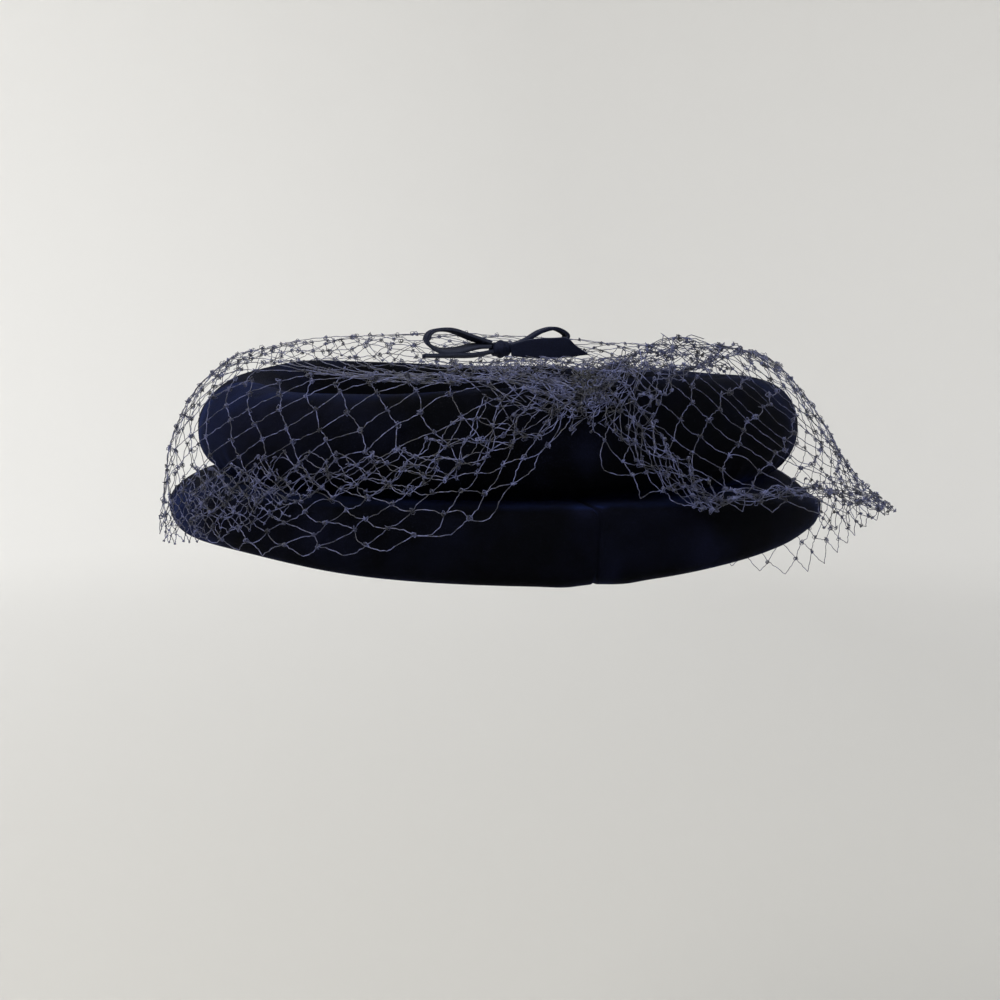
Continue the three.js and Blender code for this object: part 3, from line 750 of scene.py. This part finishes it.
def fold_place(grid, normals, path):
    """A fold's own surface: along its path by the first coordinate, over its width by the second, and lifted
    off the velvet by the third. The side runs square to the path and to the veil's normal."""
    smooth = catmull_rom(np.array(path) * np.array([1, 1, 0.01]), 120)
    centre = on_grid(grid, smooth[:, 0], smooth[:, 1])
    out = unit(on_grid(normals, smooth[:, 0], smooth[:, 1]))
    side = unit(np.cross(out, np.gradient(centre, axis=0)))
    table = np.concatenate([centre, out, side, smooth[:, 2:] * 100], axis=-1)
    so_far = np.concatenate([[0], np.cumsum(np.linalg.norm(np.diff(centre, axis=0), axis=-1))])
    length = so_far[-1]

    def place(where):
        at = np.stack([np.interp(where[..., 0] * length, so_far, table[:, k]) for k in range(10)], axis=-1)
        point = at[..., :3] + at[..., 6:9] * where[..., 1:2] * at[..., 9:]
        point = point + at[..., 3:6] * where[..., 2:]
        return clear_of_velvet(point, VEIL_CLEARANCE + 0.3), unit(at[..., 3:6])

    return place, length


def fold_net(grid, normals, path, rows, cell, layers, free_row=None):
    """The layers of one fold: each is a lattice of long diamonds along the path, shifted by a random part
    of a diamond, with its knots jittered, and lies a step above the last."""
    place, length = fold_place(grid, normals, path)
    columns = max(4, int(length / cell))
    blocks = []
    for layer in range(layers):
        i, j, links = diamond_lattice(np.zeros(columns + 1), np.full(columns + 1, rows))
        u = (i + rng.normal(0, 0.2, len(i)) + rng.uniform(-0.5, 0.5)) / columns
        v = (j + rng.normal(0, 0.2, len(i))) / rows - 0.5 + rng.uniform(-0.08, 0.08) * (layers > 1)
        lift = LAYER_STEP * (layer + 1) + rng.normal(0, 0.3, len(i))
        nodes = np.stack([np.clip(u, 0, 1), v, lift], axis=-1)
        is_bare = None if free_row is None else j == free_row
        blocks += knotted(nodes, links, place, is_bare, min(1, SMALL_TUFT * cell / 4), 0.1)
    return blocks


def gather_place(grid):
    """The veil's surface round the gather, closed between the flaps: the last ribs, a straight blend from
    the last to the first, and the first ribs, all over the first places along."""
    ribs, places = GATHERED["flap_ribs"], GATHERED["places"]
    blend = np.linspace(0, 1, GATHERED["between"] + 2)[1:-1, None, None]
    between = clear_of_velvet(grid[-1:, :places] * (1 - blend) + grid[:1, :places] * blend)
    closed = np.concatenate([grid[-ribs:, :places], between, grid[:ribs, :places]])
    return veil_place(closed, grid_normals(closed))


def gathered_net(place):
    """The gather: layers of small diamonds whose ragged reach is shorter in the middle than on the flaps,
    long threads that weave out over them, and curls of thread on top."""
    blocks = []
    columns, rows = GATHERED["columns"], GATHERED["rows"]
    for layer in range(GATHERED["layers"]):
        i, j, links = diamond_lattice(np.zeros(columns + 1), np.full(columns + 1, rows))
        across = (i + rng.normal(0, 0.42, len(i)) + rng.uniform(-0.5, 0.5)) / columns
        along = (j + rng.normal(0, 0.42, len(i)) + rng.uniform(-0.5, 0.5)) / rows
        lift = 0.4 + GATHERED["step"] * layer + rng.normal(0, 0.45, len(i))
        reach = 0.62 + 0.18 * np.cos(2 * np.pi * (across - 0.5) * 2) + rng.normal(0, 0.12, len(i))
        ragged = 0.44 + rng.normal(0, 0.05, len(i))
        outside = (along > reach - 0.06 * layer) | (np.abs(across - 0.5) > ragged)
        links = links[~(outside[links[:, 0]] | outside[links[:, 1]])]
        nodes = np.stack([np.clip(across, 0, 1), np.clip(along, 0, 1), lift], axis=-1)
        blocks += knotted(nodes, links, place, None, 0.8 * SMALL_TUFT, 0.13)
    count, steps = TANGLE["threads"], TANGLE["points"]
    t = np.linspace(0, 1, steps)
    target = 0.5 + rng.normal(0, 0.19, (count, 1))
    phase = rng.uniform(0, 2 * np.pi, (3, count, 1))
    weave = 0.05 * np.sin(2 * np.pi * 1.3 * t + phase[0]) + 0.02 * np.sin(2 * np.pi * 3.9 * t + phase[1])
    start, reach = rng.uniform(0, 0.35, (count, 1)), rng.uniform(0.15, 0.55, (count, 1))
    along = start + reach * t
    lift = TANGLE["lift"] * (0.5 + 0.5 * np.sin(2 * np.pi * 2.1 * t + phase[2])) * (1.15 - t)
    paths, out = place(np.stack([np.clip(target + weave, 0, 1), along, lift], axis=-1))
    blocks.append(tubes(clear_of_velvet(paths + rng.normal(0, 0.2, paths.shape)), out, THREAD / 2))
    number = TANGLE["curls"]
    where = np.stack([
        np.clip(0.5 + rng.normal(0, 0.18, number), 0, 1), rng.uniform(0.05, 0.6, number),
        rng.uniform(0.5, TANGLE["lift"], number),
    ], axis=-1)
    return blocks + [curls(where, place)]


def curls(where, place):
    """Loose oval loops of thread in planes near the surface's own: cos and 0.6 sin of the turn round
    each."""
    centres, normal = place(where)
    number = len(centres)
    plane = unit(normal + rng.normal(0, 0.5, normal.shape))
    first = unit(np.cross(plane, rng.normal(size=plane.shape)))
    second = np.cross(plane, first)
    turn = 2 * np.pi * np.arange(12) / 12
    size = rng.uniform(0.9, 2.4, (number, 1, 1)) * rng.uniform(0.75, 1.25, (number, 12, 1))
    rings = first[:, None] * np.cos(turn)[:, None] + 0.6 * second[:, None] * np.sin(turn)[:, None]
    return tubes(centres[:, None] + size * rings, plane, THREAD / 2, is_ring=True)


def gather_over_top(place, lengths):
    """The part of the gather that stands up over the open top: short threads that wave about over the
    veil and curls among them, thinning out away from it."""
    count, steps = OVER_TOP["threads"], TANGLE["points"]
    t = np.linspace(0, 1, steps)
    across = rng.uniform(0.13, 0.90, (count, 1))
    length = np.interp(across, np.linspace(0, 1, len(lengths)), lengths)
    begin = OVER_TOP["from"] + (OVER_TOP["to"] - OVER_TOP["from"]) * rng.uniform(0, 1, (count, 1)) ** 1.5
    phase = rng.uniform(0, 2 * np.pi, (3, count, 1))
    wave = 0.03 * np.sin(2 * np.pi * 1.2 * t + phase[0]) + 0.012 * np.sin(2 * np.pi * 3.1 * t + phase[1])
    along = (begin + rng.uniform(5, 14, (count, 1)) * t) / length
    rise = np.abs(np.sin(2 * np.pi * 0.9 * t + phase[2]))
    lift = OVER_TOP["lift"] * rise * rng.uniform(0.2, 1, (count, 1))
    paths, out = place(np.stack([across + wave, along, lift], axis=-1))
    number = OVER_TOP["curls"]
    side = rng.uniform(0.10, 0.92, number)
    reach = rng.uniform(OVER_TOP["from"], OVER_TOP["to"], number)
    where = np.stack([
        side, reach / np.interp(side, np.linspace(0, 1, len(lengths)), lengths),
        rng.uniform(0.2, OVER_TOP["lift"], number),
    ], axis=-1)
    return [tubes(paths + rng.normal(0, 0.2, paths.shape), out, THREAD / 2), curls(where, place)]


def tie_threads():
    """The sewing thread that holds the gather: loops that run down the crown's back, weaving side to
    side."""
    count, steps = TIE["threads"], TIE["points"]
    t = np.linspace(0, 1, steps)
    phase = rng.uniform(0, 2 * np.pi, (2, count, 1))
    x = GATHER["x"] + 2.0 + rng.uniform(-1, 1, (count, 1)) * TIE["half_width"]
    x = x + 1.1 * np.sin(2 * np.pi * 2.2 * t + phase[0])
    z = TIE["from_z"] + (TIE["to_z"] - TIE["from_z"]) * t * rng.uniform(0.5, 1, (count, 1))
    y = 97 + 1.2 * np.sin(2 * np.pi * 1.7 * t + phase[1])
    paths = clear_of_velvet(np.stack([x, y + 0 * x, z], axis=-1), VEIL_CLEARANCE + 2.4)
    return [tubes(paths, np.broadcast_to([1.0, 0.0, 0.0], (count, 3)), 0.14)]


def netting_material():
    """Nylon veiling thread, dyed navy and twisted: fine and a little shiny. The lilac grey where it catches
    the light comes partly from its shine and partly from painted highlight mixed into its colour along the
    thread, with painted shade between."""
    material, tree, output = new_material("veiling_thread_navy")
    place = add_node(tree, "ShaderNodeTexCoord").outputs["Object"]
    # The two plies cross every 0.6 mm along the thread, drawn at 1 mm, and over 4 mm the colour is mottled
    # with painted highlight and painted shade
    twist = add_node(tree, "ShaderNodeTexNoise", {"Vector": place, "Scale": 1000.0, "Detail": 1.0})
    painted_highlight_mottle = add_node(tree, "ShaderNodeTexNoise", {"Vector": place, "Scale": 250.0, "Detail": 1.0})
    both = add_node(tree, "ShaderNodeMath", {
        0: twist.outputs["Fac"], 1: painted_highlight_mottle.outputs["Fac"],
    }, operation="MULTIPLY")
    ply_and_painted_highlight = add_node(tree, "ShaderNodeMapRange", {
        "Value": both.outputs["Value"], "From Min": 0.17, "From Max": 0.38, "To Min": 0.0, "To Max": 1.0,
    })
    colour = add_node(tree, "ShaderNodeMix", {
        "Factor": ply_and_painted_highlight.outputs["Result"], "A": linear("#070a17"), "B": linear("#4a5076"),
    }, data_type="RGBA")
    shader = add_node(tree, "ShaderNodeBsdfPrincipled", {
        "Base Color": colour.outputs["Result"], "Roughness": 0.42, "Specular IOR Level": 0.5,
        "Sheen Weight": 0.1, "Sheen Roughness": 0.4, "Sheen Tint": linear("#9aa0d0"),
    })
    tree.links.new(shader.outputs["BSDF"], output.inputs["Surface"])
    return material


def tie_material():
    """Cotton sewing thread, waxed and greyed olive: matt, paler than the net that it holds."""
    material, tree, output = new_material("cotton_tie_thread")
    place = add_node(tree, "ShaderNodeTexCoord").outputs["Object"]
    twist = add_node(tree, "ShaderNodeTexNoise", {"Vector": place, "Scale": 1600.0, "Detail": 1.0})
    colour = add_node(tree, "ShaderNodeMix", {
        "Factor": twist.outputs["Fac"], "A": linear("#0e0f12"), "B": linear("#34363a"),
    }, data_type="RGBA")
    shader = add_node(tree, "ShaderNodeBsdfPrincipled", {
        "Base Color": colour.outputs["Result"], "Roughness": 0.8, "Specular IOR Level": 0.3,
    })
    tree.links.new(shader.outputs["BSDF"], output.inputs["Surface"])
    return material


# The bow

def ribbon(rows, steps, cut=0.0, section_points=28):
    """A ribbon along its table's places: a flat section, |a|^6 + |b|^6 = 1 over half the width and half the
    thickness, whose width lies square to the route and turns about it. cut is how much sooner its upper edge
    ends than its lower, for a slanting cut. Also which faces are the woven back's."""
    rows = np.array(rows, dtype=float)
    route = catmull_rom(rows[:, :3], steps)
    along = unit(np.gradient(route, axis=0))
    share = np.linspace(0, len(rows) - 1, steps)
    width, turn = [np.interp(share, np.arange(len(rows)), rows[:, k]) for k in (3, 4)]
    wide = unit(np.array([0.0, 1.0, 0.0]) - along * along[:, 1:2])
    turned = np.radians(turn) * np.where(along[:, 0] < 0, -1, 1)
    wide = wide * np.cos(turned)[:, None] + np.cross(along, wide) * np.sin(turned)[:, None]
    thick = np.cross(along, wide)
    angle = 2 * np.pi * (np.arange(section_points) + 0.5) / section_points
    a = np.sign(np.cos(angle)) * np.abs(np.cos(angle)) ** (1 / 3)
    b = np.sign(np.sin(angle)) * np.abs(np.sin(angle)) ** (1 / 3)
    slant = -along[:, None] * (cut * (a + 1) / 2 * (share / share[-1])[:, None] ** 2)[..., None]
    points = (route[:, None] + wide[:, None] * (a * width[:, None] / 2)[..., None] + slant
              + thick[:, None] * (b * RIBBON_THICKNESS / 2)[None, :, None])
    sides = grid_faces(steps, section_points, wrap_columns=True)
    first = np.arange(section_points)[None]
    last = (steps - 1) * section_points + np.arange(section_points)[::-1][None]
    is_back = np.tile(b + np.roll(b, -1) < 0, steps - 1)
    return points.reshape(-1, 3), [sides, first, last], is_back


def bow_knot(rings=48, steps=64):
    """The bow's knot: an ellipsoid that is wrapped by the ribbon, so that three soft ridges run round the x
    axis. The radius swells by 0.06 cos(3 pi x) and two soft lobes, and is creased aslant where the wrap's
    end is tucked in."""
    polar = np.linspace(0, np.pi, rings + 2)[1:-1][:, None]
    turn = np.linspace(0, 2 * np.pi, steps, endpoint=False)[None]
    x = np.cos(polar) + 0 * turn
    swell = 1 + 0.06 * np.cos(3 * np.pi * x) - 0.08 * np.exp(-((x - 0.5 * np.sin(turn - 0.6)) / 0.14) ** 2)
    swell = swell + 0.06 * np.sin(2 * turn + 2.2 * x)
    y = np.sin(polar) * np.cos(turn) * swell
    z = np.sin(polar) * np.sin(turn) * swell
    half = np.array([KNOT["width"], KNOT["depth"], KNOT["height"]]) / 2
    body = (np.stack([x, y, z], axis=-1) * half).reshape(-1, 3)
    poles = np.array([[half[0], 0, 0], [-half[0], 0, 0]])
    points = np.concatenate([body, poles]) + np.array([0, 0, half[2] + GAP])
    around = np.arange(steps)
    after = (around + 1) % steps
    top, bottom = len(body), len(body) + 1
    last = (rings - 1) * steps
    caps = [
        np.stack([np.full(steps, top), around, after], axis=-1),
        np.stack([np.full(steps, bottom), last + after, last + around], axis=-1),
    ]
    return points, [grid_faces(rings, steps, wrap_columns=True), *caps]


def ribbon_material(name, deep, light, sheen):
    """Velvet ribbon: its face is the hat's pile cut shorter, its back a plain weave of greyer silk."""
    material, tree, output = new_material(name)
    place = add_node(tree, "ShaderNodeTexCoord").outputs["Object"]
    # The weave's threads are 0.2 mm apart, drawn at 0.4 mm
    weave = add_node(tree, "ShaderNodeTexNoise", {"Vector": place, "Scale": 2400.0, "Detail": 2.0})
    colour = add_node(tree, "ShaderNodeMix", {
        "Factor": weave.outputs["Fac"], "A": linear(deep), "B": linear(light),
    }, data_type="RGBA")
    bump = add_node(tree, "ShaderNodeBump", {
        "Height": weave.outputs["Fac"], "Strength": 0.3, "Distance": 0.0002,
    })
    shader = add_node(tree, "ShaderNodeBsdfPrincipled", {
        "Base Color": colour.outputs["Result"], "Roughness": 0.8, "Specular IOR Level": 0.08,
        "Sheen Weight": sheen, "Sheen Roughness": 0.3, "Sheen Tint": linear("#5c74c8"),
        "Normal": bump.outputs["Normal"],
    })
    tree.links.new(shader.outputs["BSDF"], output.inputs["Surface"])
    return material


# The room, the light and the camera

def cove():
    """A pale floor well below the hat that rises into a wall all round: a profile of floor, quarter
    circle and wall, turned about the hat."""
    floor_z, bend, wall_r, wall_top = -420.0, 1400.0, 3600.0, 4200.0
    quarter = np.linspace(-90, 0, 25)
    profile = np.concatenate([
        np.stack([np.linspace(60, wall_r - bend, 12), np.full(12, floor_z)], axis=-1),
        np.stack([wall_r - bend + bend * np.cos(np.radians(quarter)),
                  floor_z + bend + bend * np.sin(np.radians(quarter))], axis=-1)[1:],
        np.array([[wall_r, wall_top]]),
    ])
    turn = np.radians(np.linspace(0, 360, 96, endpoint=False))[:, None]
    points = np.stack([
        profile[:, 0] * np.cos(turn), profile[:, 0] * np.sin(turn), profile[:, 1] + 0 * turn,
    ], axis=-1).reshape(-1, 3)
    sides = grid_faces(96, len(profile), wrap_rows=True)
    middle = (np.arange(96) * len(profile))[None]
    material, tree, output = new_material("studio_paper")
    place = add_node(tree, "ShaderNodeTexCoord").outputs["Object"]
    # Painted shade on the paper: darker near the hat, by the level distance from its axis, and darker
    # towards -X, the wearer's right
    level = add_node(tree, "ShaderNodeVectorMath", {0: place, 1: (1.0, 1.0, 0.0)}, operation="MULTIPLY")
    away = add_node(tree, "ShaderNodeVectorMath", {0: level.outputs["Vector"]}, operation="LENGTH")
    depth = add_node(tree, "ShaderNodeMapRange", {
        "Value": away.outputs["Value"], "From Min": 0.5, "From Max": 2.5, "To Min": 0.0, "To Max": 1.0,
    })
    sideways = add_node(tree, "ShaderNodeSeparateXYZ", {"Vector": place})
    shade = add_node(tree, "ShaderNodeMapRange", {
        "Value": sideways.outputs["X"], "From Min": -1.0, "From Max": 0.9, "To Min": 0.0, "To Max": 1.0,
    })
    paper_painted_shade = add_node(tree, "ShaderNodeMix", {
        "Factor": depth.outputs["Result"], "A": linear("#c2c1bd"), "B": linear("#f6f5f2"),
    }, data_type="RGBA")
    fall = add_node(tree, "ShaderNodeMix", {
        "Factor": shade.outputs["Result"], "A": linear("#dedede"), "B": linear("#fbfbfb"),
    }, data_type="RGBA")
    colour = add_node(tree, "ShaderNodeMix", {
        "Factor": 1.0, "A": paper_painted_shade.outputs["Result"], "B": fall.outputs["Result"],
    }, data_type="RGBA", blend_type="MULTIPLY")
    shader = add_node(tree, "ShaderNodeBsdfPrincipled", {
        "Base Color": colour.outputs["Result"], "Roughness": 0.95, "Specular IOR Level": 0.05,
    })
    tree.links.new(shader.outputs["BSDF"], output.inputs["Surface"])
    new_piece("floor_and_wall", points, [sides, middle], [material])


def area_light(name, place, size, power, colour):
    """A soft square lamp that faces the hat."""
    data = bpy.data.lights.new(name, "AREA")
    data.shape = "SQUARE"
    data.size = size
    data.energy = power
    data.color = linear(colour)[:3]
    lamp = bpy.data.objects.new(name, data)
    towards = -unit(np.array(place, dtype=float))
    side = unit(np.cross(towards, [0.0, 0.0, 1.0]))
    turned = Matrix(np.stack([side, np.cross(side, towards), -towards], axis=-1).tolist()).to_4x4()
    lamp.matrix_world = Matrix.Translation(place) @ turned
    bpy.context.scene.collection.objects.link(lamp)


def light_the_room():
    """A pale even room light, a large soft lamp up on the wearer's left behind the hat, and a weak one
    right."""
    world = bpy.data.worlds.new("room")
    world.use_nodes = True
    world.node_tree.nodes["Background"].inputs["Color"].default_value = linear("#f2f4f8")
    world.node_tree.nodes["Background"].inputs["Strength"].default_value = 1.35
    bpy.context.scene.world = world
    bpy.context.scene.view_settings.view_transform = "Standard"
    area_light("key", (1.1, 0.9, 1.3), 0.9, 42.0, "#fffaf2")
    area_light("fill", (-1.4, 1.2, 0.5), 1.2, 9.0, "#eef3ff")


def camera():
    """The photograph's camera: behind the hat at its azimuth, pitched down, with its focal length in
    pixels."""
    angle, pitch = np.radians(CAMERA["azimuth"]), np.radians(CAMERA["pitch"])
    away = np.array([np.sin(angle), -np.cos(angle), 0.0])
    right = np.array([-away[1], away[0], 0.0])
    place = away * CAMERA["distance"] + right * CAMERA["aside"] + np.array([0, 0, CAMERA["height"]])
    forward = -away * np.cos(pitch) - np.array([0, 0, np.sin(pitch)])
    up = np.cross(right, forward)
    data = bpy.data.cameras.new("camera")
    data.sensor_width = SENSOR_MM
    data.lens = CAMERA["focal_px"] / FRAME_PX * SENSOR_MM
    made = bpy.data.objects.new("camera", data)
    turned = Matrix(np.stack([right, up, -forward], axis=-1).tolist()).to_4x4()
    made.matrix_world = Matrix.Translation(place.tolist()) @ turned
    bpy.context.scene.collection.objects.link(made)
    bpy.context.scene.camera = made


# Making the hat

camera()
cove()
light_the_room()

velvet = velvet_material()
velvet_piece(
    "crown_roll", "crown", velvet, crown_section, CROWN["shift_x"], CROWN_ROLL, crown_pucker, CROWN_NAP_AND_PAINTED_LIGHT,
)
velvet_piece("cuff_roll", "cuff", velvet, cuff_section, 0.0, CUFF_ROLL, cuff_pucker, CUFF_NAP_AND_PAINTED_LIGHT)

grid, top_lengths, rib_lengths = veil_grid(281, 201)
normals = grid_normals(grid)
netting = netting_material()
on_veil = veil_place(grid, normals)
PARTS = {"veil_left": (0.0, 0.35), "veil_front": (0.35, 0.68), "veil_right": (0.68, 1.01)}
nodes, links, is_hem = hung_net(top_lengths, rib_lengths, **CLOSE_NET)
middle_of_link = nodes[links].mean(axis=1)[:, 0]
for name, (low, high) in PARTS.items():
    chosen = links[(middle_of_link >= low) & (middle_of_link < high)]
    dress(new_piece(name, *joined(knotted(nodes, chosen, on_veil, is_hem)), [netting]), "netting", "veil")
nodes, links, is_hem = hung_net(top_lengths, rib_lengths, **WIDE_NET)
dress(new_piece("veil_top", *joined(knotted(nodes, links, on_veil)), [netting]), "netting", "veil")
for name, fold in FOLDS.items():
    dress(new_piece("veil_" + name, *joined(fold_net(grid, normals, **fold)), [netting]), "netting", "veil")
dress(new_piece("veil_gather", *joined(gathered_net(gather_place(grid))), [netting]), "netting", "veil")
over_top = gather_over_top(on_veil, rib_lengths)
dress(new_piece("veil_gather_top", *joined(over_top), [netting]), "netting", "veil")
dress(new_piece("gather_tie", *joined(tie_threads()), [tie_material()]), "netting", "veil")

velvet_face = ribbon_material("velvet_ribbon_face", "#04060f", "#10152a", 0.06)
woven_back = ribbon_material("velvet_ribbon_back", "#12151f", "#2a2e3c", 0.04)
seat = on_grid(grid, np.array([BOW_SEAT["across"]]), np.array([BOW_SEAT["along"]]))[0]
seat = seat + np.array([0, 0, NET_THICKNESS / 2 + GAP])
for name, rows in RIBBONS.items():
    points, faces, is_back = ribbon(rows, 90 if "loop" in name else 40, TAIL_CUTS.get(name, 0.0))
    if name == "bow_loop_right":
        is_back = ~is_back
    slots = np.concatenate([is_back.astype(int), [0, 0]])
    piece = new_piece(name + "_ribbon", points + seat, faces, [velvet_face, woven_back], slots)
    dress(piece, "ribbon", name)
knot_points, knot_faces = bow_knot()
dress(new_piece("bow_knot_wrap", knot_points + seat, knot_faces, [velvet_face]), "ribbon", "bow_knot")
